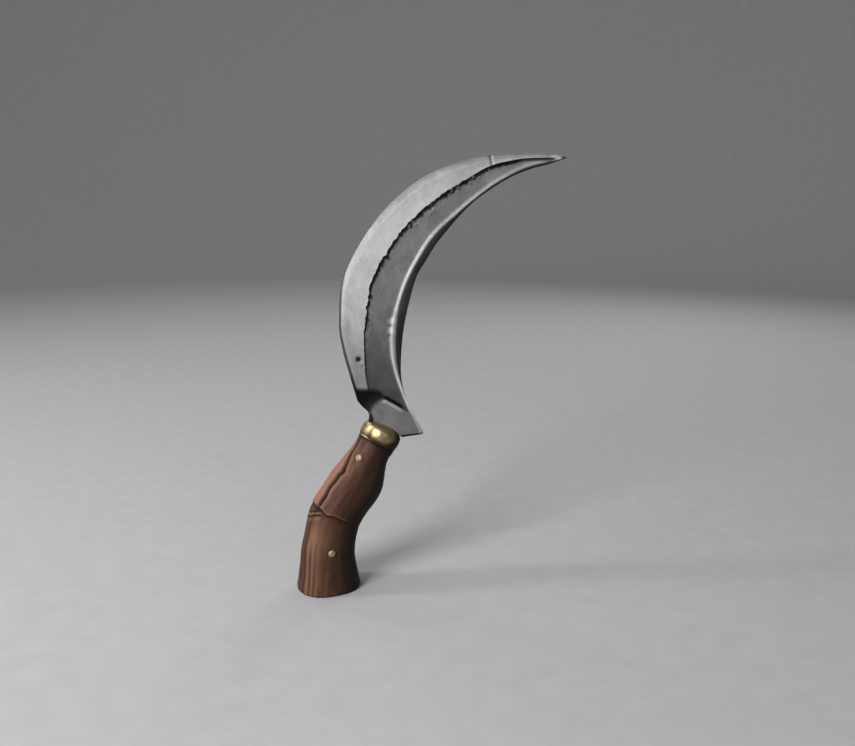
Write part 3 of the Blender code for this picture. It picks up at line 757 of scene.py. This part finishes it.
def carve(side, across, depth, wide, length, total, back):
    """Lift in mm and looks of the outside of one ring, at a length out of the total."""
    part = length / total
    where = np.column_stack([across, depth, np.full(ARC_POINTS, length)])
    # Long shallow hollows from the drawknife, and small dents.
    lift = 0.22 * rough_noise(where * (1, 1, 0.16), 5.5, 71, 2) + 0.10 * rough_noise(where, 6.0, 75, 3)
    fold, dark, light = knuckle(across, depth, length)
    lift += fold
    streak_light, streak_dark = lower_streaks(across, depth, length)
    light += streak_light
    dark += streak_dark
    lift = lift + 0.12 * streak_light - 0.16 * streak_dark
    # The joint gapes on the back, above the knuckle; on the front it is tight.
    on_back = across < 0
    above = ease(length, LAP - 1, LAP + 2) * (1 - 0.6 * ease(part, 0.93, 1))
    from_seam = np.abs(depth - np.where(on_back, back, SEAM_Y))
    gape = np.where(on_back, 0.10 + 0.90 * above, 0.08)
    lift -= 0.95 * gape * bump(from_seam, 0.4 + 0.35 * gape)
    dark += (0.25 + 0.45 * gape) * bump(from_seam, 0.3 + 0.35 * gape)
    # On the far scale the back strip beside the joint is raised, warmer in tone and lighter as painted light,
    # with painted shade along the groove; below the lap painted shade darkens the back.
    if side > 0:
        strip = on_back * above * ease(from_seam, 1.4, 3.6) * (1 - ease(depth, 4, 9))
        lift += 0.30 * strip * (1 - ease(from_seam, 3, 7))
        dark += 0.45 * on_back * above * (1 - ease(from_seam, 0.8, 2.6))
        warm = 0.80 * strip * (1 - 0.6 * ease(part, 0.85, 1))
        side_shade = 0.35 * on_back * (1 - above) * (1 - ease(depth, 2, 9)) * ease(LAP - length, 3, 5)
    else:
        # On the near scale a band beside the joint is warmer, partly as painted light, and painted light
        # brightens the back: broadly on the lower grip, and in a band beside the joint higher up.
        warm = 0.30 * on_back * above * bump(from_seam - 1.9, 1.1)
        light += 0.75 * on_back * bump(from_seam - 4.5, 4.5) * bump(length - 38, 9)
        light += 0.14 * on_back * bump(from_seam - 2.2, 1.6) * ease(length, LAP + 3, LAP + 9)
        side_shade = np.zeros_like(across)
    # Painted shade darkens the finger side, less so at its outermost edge.
    finger_side_shade = 0.92 * ease(across / wide, -0.75, 0.55) - 0.42 * ease(across / wide, 0.84, 1.0)
    side_shade = np.maximum(side_shade, finger_side_shade)
    # The rim of the butt is rounded over, and so is the shoulder at the ferrule.
    lift -= 2.0 * (1 - math.sqrt(1 - (1 - min(length / 1.8, 1)) ** 2))
    lift *= 1 - 0.8 * ease(part, 0.95, 1.0)
    # Painted shade: dark lines at the ferrule and at the butt's rim, and painted shadow over the last 12 mm
    # under the ferrule.
    dark = dark + 0.85 * bump(length - total, 1.6) + 0.7 * bump(length, 0.9)
    dark += 0.40 * ease(length, total - 12, total)
    # The light marks hold wear streaks and painted highlights; the dark ones hold painted shade, the dark
    # joint and dark streaks.
    return lift, {"shade_and_dark_grain": dark, "worn": 0.7 * light, "warm": warm, "side_shade": side_shade}


def make_scale(name, side, finish):
    """One half of the grip: carved outside, and inside a parting face with the tang's channel."""
    path, along, run = grip_frame()
    tang = smooth_path(TANG_STATIONS, 300)
    seam_share, seam_y = np.array(BACK_SEAM).T
    fields = {label: [] for label in ("grain", "shade_and_dark_grain", "worn", "warm", "side_shade")}
    points = []
    for place, direction, length in zip(path, along, run):
        (x, z, wide, deep), (dx, dz) = place, direction
        back = float(np.interp(length / run[-1], seam_share, seam_y))
        back += 0.35 * float(value_noise(np.array([length, 0.0, 0.0]), 6.0, 79))
        angles = scale_arc(side, deep, back)
        across = wide * np.sign(np.cos(angles)) * np.abs(np.cos(angles)) ** (2 / SQUARENESS)
        depth = deep * np.sign(np.sin(angles)) * np.abs(np.sin(angles)) ** (2 / SQUARENESS)
        lift, looks = carve(side, across, depth, wide, length, run[-1], back)
        radial = np.column_stack([across, depth]) / np.hypot(across, depth)[:, None]
        across = across + radial[:, 0] * lift
        depth = depth + radial[:, 1] * lift
        inner = parting_points(side, (across[0], depth[0]), (across[-1], depth[-1]),
                               tang_beside(place, direction, tang))
        ring = np.vstack([np.column_stack([across, depth]), inner])
        points.append(np.column_stack([x + ring[:, 0] * dz, ring[:, 1], z - ring[:, 0] * dx]))
        fields["grain"].append(np.column_stack([ring, np.full(len(ring), length)]))
        for label, values in looks.items():
            fields[label].append(np.concatenate([np.clip(values, 0, 1), np.zeros(len(inner))]))
    faces = tube_faces(len(points), len(points[0]))
    attributes = {label: np.concatenate(values) for label, values in fields.items()}
    build(f"{name}_carved", np.concatenate(points), faces, finish, name, 60, attributes)


# -------- brass

SHANK_RADIUS, HEAD_RADIUS, HEAD_HEIGHT, TAIL_RADIUS, TAIL_HEIGHT = 1.5, 2.5, 1.25, 2.3, 0.9
BURR_HOLE, BURR_RADIUS = 1.8, 3.4
FERRULE_SIDES, RIVET_SIDES = 168, 64


def ferrule_place(across, depth, up):
    x, z = FERRULE_FOOT
    return np.stack([x + across * math.cos(LEAN) + up * math.sin(LEAN), depth,
                     z - across * math.sin(LEAN) + up * math.cos(LEAN)], axis=-1)


def rivet_place(name):
    """Function from (sideways, upwards, out towards the head) to the world."""
    (x, z), turn, lean, _, _ = RIVETS[name]
    head = np.array([-math.sin(turn) * math.cos(lean), -math.cos(turn), math.sin(turn) * math.sin(lean)])
    side = np.array([math.cos(turn) * math.cos(lean), -math.sin(turn), -math.cos(turn) * math.sin(lean)])
    up = np.array([math.sin(lean), 0, math.cos(lean)])

    def place(sideways, upwards, out):
        return (np.array([x, 0, z]) + sideways[..., None] * side + upwards[..., None] * up
                + out[..., None] * head)

    return place


def turned(profile, sides, closed):
    """Radius, height and angle grids and faces of a turned shape, closed end to end or not."""
    profile = np.array(profile, float)
    angle = np.linspace(0, 2 * math.pi, sides, endpoint=False)
    radius = np.repeat(profile[:, :1], sides, axis=1)
    height = np.repeat(profile[:, 1:2], sides, axis=1)
    angle = np.broadcast_to(angle, radius.shape)
    if not closed:
        return radius, height, angle, tube_faces(len(profile), sides)
    last = (len(profile) - 1) * sides
    faces = grid_faces(len(profile), sides, wrap=True)
    faces += [(last + i, last + (i + 1) % sides, (i + 1) % sides, i) for i in range(sides)]
    return radius, height, angle, faces


def fine(profile, step):
    """The profile with points about a step apart."""
    profile = np.array(profile, float)
    out = [profile[0]]
    for a, b in zip(profile, profile[1:]):
        count = max(1, int(np.linalg.norm(b - a) / step))
        out += [a + (b - a) * i / count for i in range(1, count + 1)]
    return out


def arc(centre, bend, start, end, count):
    return [(centre[0] + bend * math.cos(a), centre[1] + bend * math.sin(a))
            for a in np.radians(np.linspace(start, end, count))]


def make_ferrule(finish):
    """A domed cup with a beaded foot, dented, with a groove for the blade's foot."""
    body = smooth_path(FERRULE_OUTSIDE[1:], 90)[:, :2]
    outside = np.vstack([FERRULE_OUTSIDE[:1], body])
    bore = [(1.0, FERRULE_CEILING), (FERRULE_BORE - 1, FERRULE_CEILING), (FERRULE_BORE, FERRULE_CEILING - 1),
            (FERRULE_BORE, 0.3)]
    radius, up, angle, faces = turned(fine(outside, 0.35) + fine(bore, 1.5), FERRULE_SIDES, closed=True)
    place = ferrule_place(radius * np.cos(angle), radius * np.sin(angle), up)
    skin = (radius > FERRULE_BORE + 0.6) | (up > FERRULE_CEILING + 1)
    dent = 0.13 * rough_noise(place, 7.0, 91, 2) - 0.10 * bump(value_noise(place, 3.5, 95) - 0.6, 0.2)
    radius = radius + dent * skin * ease(up, 0.3, 3.0) * (radius > 4)
    radius = np.minimum(radius, FERRULE_LIMIT)
    across, depth = radius * np.cos(angle), radius * np.sin(angle)
    seat = (1 - ease(np.abs(depth), 2.75, 3.1)) * (up > BLADE_SEAT)
    rim = 0.25 * bump(np.abs(depth) - 3.5, 0.4) * ease(up, 10.6, 11.4)
    up = up + rim + (BLADE_SEAT - up - rim) * seat
    place = ferrule_place(across, depth, up)
    # Painted shade darkens the foot and bead, the groove's edge, a fold on the back and the finger side, with
    # some tarnish from the noise; a painted highlight keeps the lip bright at the back.
    bead = bump(up - 0.95, 0.5)
    foot = 0.6 * (1 - ease(up, 0.2, 0.6)) + 0.2 * bump(up - 1.9, 0.5) + 0.7 * (1 - ease(up, 2.0, 7.0))
    lip = (0.6 * ease(across, -11, -8) - 0.5 * (1 - ease(across, -12.5, -10.5))) * bead
    groove = 0.7 * bump(np.abs(depth) - 2.8, 0.25) * (up > 9)
    fold = 0.5 * bump(depth + 8.2, 1.3) * (across < 0) * bump(up - 6, 5)
    grime_and_painted_shade = foot + lip + groove + fold + 1.1 * ease(across, -1.0, 10)
    grime_and_painted_shade = grime_and_painted_shade + 0.12 * rough_noise(place, 4.0, 97, 3)
    build("ferrule_dented", place.reshape(-1, 3), faces, finish, "ferrule", 55,
          {"grime_and_painted_shade": np.clip(grime_and_painted_shade, 0, 0.92).ravel()})


def dome(radius, height, base, steps):
    """Profile of a domed head, from its rim to just short of its crown."""
    turns = np.linspace(0, 0.97, steps) * math.pi / 2
    return [(radius * math.cos(a), base + height * math.sin(a)) for a in turns]


def make_rivet(name, finish):
    """A rounded head that sits in a ring of painted shadow, its shank, and a tail spread over the burr."""
    _, _, _, head_at, tail_at = RIVETS[name]
    tail = -(tail_at + 1.5)
    profile = [*dome(TAIL_RADIUS, -TAIL_HEIGHT, tail, 9)[::-1], (SHANK_RADIUS, tail), (SHANK_RADIUS, head_at)]
    profile += arc((2.2, head_at + 0.3), 0.3, -90, 0, 4) + dome(HEAD_RADIUS, HEAD_HEIGHT, head_at + 0.35, 16)
    radius, out, angle, faces = turned(fine(profile, 0.3), RIVET_SIDES, closed=False)
    lumps = rough_noise(np.stack([radius * np.cos(angle), radius * np.sin(angle), out], axis=-1), 2.6,
                        101 + len(name) + int(head_at), 2)
    ends = (out > head_at + 0.2) | (out < tail - 0.1)
    out = out + 0.09 * lumps * ends
    radius = radius * (1 + 0.05 * lumps * ends)
    grime_and_painted_shade = 0.95 * (1 - ease(out - head_at, 0.15, 0.6)) + 0.15 * lumps
    if name == "upper":
        # A tool has left one straight mark across this head, with painted shade in it.
        mark = radius * (np.cos(angle) * 0.7 + np.sin(angle) * 0.7)
        cut = bump(mark, 0.3) * (out > head_at + 0.7)
        out = out - 0.22 * cut
        grime_and_painted_shade = grime_and_painted_shade + 0.6 * cut
    place = rivet_place(name)(radius * np.cos(angle), radius * np.sin(angle), out)
    build(f"{name}_rivet_hammered", place.reshape(-1, 3), faces, finish, f"{name}_rivet", 60,
          {"grime_and_painted_shade": np.clip(grime_and_painted_shade, 0, 0.9).ravel()})


def make_burr(name, finish):
    """The dished washer under a rivet's tail."""
    _, _, _, _, tail_at = RIVETS[name]
    low, high = -(tail_at + 1.2), -(tail_at + 0.3)
    profile = [(BURR_HOLE, low), (2.6, low - 0.05), *arc((3.0, low + 0.4), 0.4, -90, 0, 5)]
    profile += [(BURR_RADIUS, high), (BURR_HOLE, high)]
    radius, out, angle, faces = turned(fine(profile, 0.3), RIVET_SIDES, closed=True)
    radius = radius + 0.12 * np.sin(3 * angle + 1) * (radius > 3)
    place = rivet_place(name)(radius * np.cos(angle), radius * np.sin(angle), out)
    # Painted shade rings the hole, with some tarnish from the noise.
    grime_and_painted_shade = np.clip(0.5 * bump(radius - 1.9, 0.5) + 0.2 * rough_noise(place, 2.0, 111, 2), 0, 0.9)
    build(f"{name}_burr_dished", place.reshape(-1, 3), faces, finish, f"{name}_rivet_burr", 45,
          {"grime_and_painted_shade": grime_and_painted_shade.ravel()})


# -------- stage

# Softboxes: azimuth and elevation, distance and size in m, watts.
SOFTBOXES = [("key_softbox", -60, 38, 1.5, (0.6, 0.6), 34),
             ("left_strip", -112, 38, 1.5, (0.16, 0.5), 9),
             ("front_glint", 11, 30, 1.5, (0.22, 0.22), 1.4),
             ("back_fill", -168, 45, 1.6, (0.7, 0.7), 3.5),
             ("finger_side_fill", 128, 30, 1.6, (0.5, 0.5), 5)]
WORLD_COLOUR, WORLD_STRENGTH = (0.95, 0.97, 1.0, 1), 0.14
VIEW_AZIMUTH, VIEW_ELEVATION, VIEW_DISTANCE = -24, 12.5, 0.63
VIEW_LENS, SENSOR = 37.9, 36
AIM_LEFT, AIM_DOWN = 0.0053, 0.0024  # how far the view is aimed off the box's middle, in m


def make_stage():
    """A pale floor that rises all round into a plain backdrop."""
    paint = Finish("pale_floor")
    speckle = paint.noise(paint.node("NewGeometry").outputs["Position"], 60.0, 3.0, 0.5)
    colour = paint.ramp(speckle, (0.3, (0.255, 0.255, 0.258)), (0.7, (0.272, 0.272, 0.275)))
    paint.finish(colour, 0.9, [(speckle, 0.0001)], Specular_IOR_Level=0.1)
    disc, bend, top, sides = 1.9, 1.1, 2.6, 96
    profile = [(0.25, 0), (0.7, 0), (1.2, 0)]
    for a in np.linspace(0, math.pi / 2, 24):
        profile.append((disc + bend * math.sin(a), bend - bend * math.cos(a)))
    profile.append((disc + bend, top))
    turns = [2 * math.pi * i / sides for i in range(sides)]
    vertices = [(r * math.cos(a), r * math.sin(a), z) for r, z in profile for a in turns]
    faces = grid_faces(len(profile), sides, wrap=True) + [tuple(range(sides))[::-1]]
    mesh = bpy.data.meshes.new("floor_bowl")
    mesh.from_pydata(vertices, [], faces)
    mesh.shade_smooth()
    mesh.materials.append(paint.made)
    bowl = add_object("floor_bowl", mesh)


def area_light(name, place, aim, size, power):
    light = bpy.data.lights.new(name, "AREA")
    light.shape = "RECTANGLE"
    light.size, light.size_y = size
    light.energy = power
    lamp = add_object(name, light)
    lamp.location = place
    lamp.rotation_euler = (Vector(aim) - Vector(place)).to_track_quat("-Z", "Y").to_euler()


def toward(azimuth, elevation, distance):
    """A point at this distance; azimuth 0 is the blade's near side, 90 its tip's."""
    azimuth, elevation = math.radians(azimuth), math.radians(elevation)
    return (distance * math.sin(azimuth) * math.cos(elevation),
            -distance * math.cos(azimuth) * math.cos(elevation), distance * math.sin(elevation))


def make_lights():
    middle = tuple((CAD_BOX[0] + CAD_BOX[1]) / 2)
    for name, azimuth, elevation, distance, size, watts in SOFTBOXES:
        area_light(name, toward(azimuth, elevation, distance), middle, size, watts)
    area_light("backdrop_wash", (0.2, 0.4, 2.4), (0.3, 2.2, 0.3), (2.0, 1.0), 30)
    world = bpy.data.worlds.new("studio")
    world.use_nodes = True
    background = world.node_tree.nodes["Background"]
    background.inputs["Color"].default_value = WORLD_COLOUR
    background.inputs["Strength"].default_value = WORLD_STRENGTH
    bpy.context.scene.world = world
    bpy.context.scene.view_settings.view_transform = "Standard"


def make_camera():
    """The photograph's viewing angle, from the box of the CAD model."""
    middle = (CAD_BOX[0] + CAD_BOX[1]) / 2
    target = Vector((middle[0] - AIM_LEFT, 0, middle[2] - AIM_DOWN))
    back = Vector(toward(VIEW_AZIMUTH, VIEW_ELEVATION, 1))
    camera = bpy.data.cameras.new("view")
    camera.sensor_width = SENSOR
    camera.lens = VIEW_LENS
    camera.clip_start = 0.01
    holder = add_object("view", camera)
    holder.location = target + back * VIEW_DISTANCE
    holder.rotation_euler = (-back).to_track_quat("-Z", "Y").to_euler()
    bpy.context.scene.camera = holder


make_camera()
steel, wood = steel_finish(), wood_finish()
brass = brass_finish("old_brass", 0.60, 1.0, 0.36)
dull_brass = brass_finish("dull_brass", 0.40, 0.35, 0.46)
make_blade(steel)
make_scale("near_scale", -1, wood)
make_scale("far_scale", 1, wood)
make_ferrule(brass)
for rivet_name in RIVETS:
    make_rivet(rivet_name, dull_brass)
    make_burr(rivet_name, dull_brass)
make_stage()
make_lights()
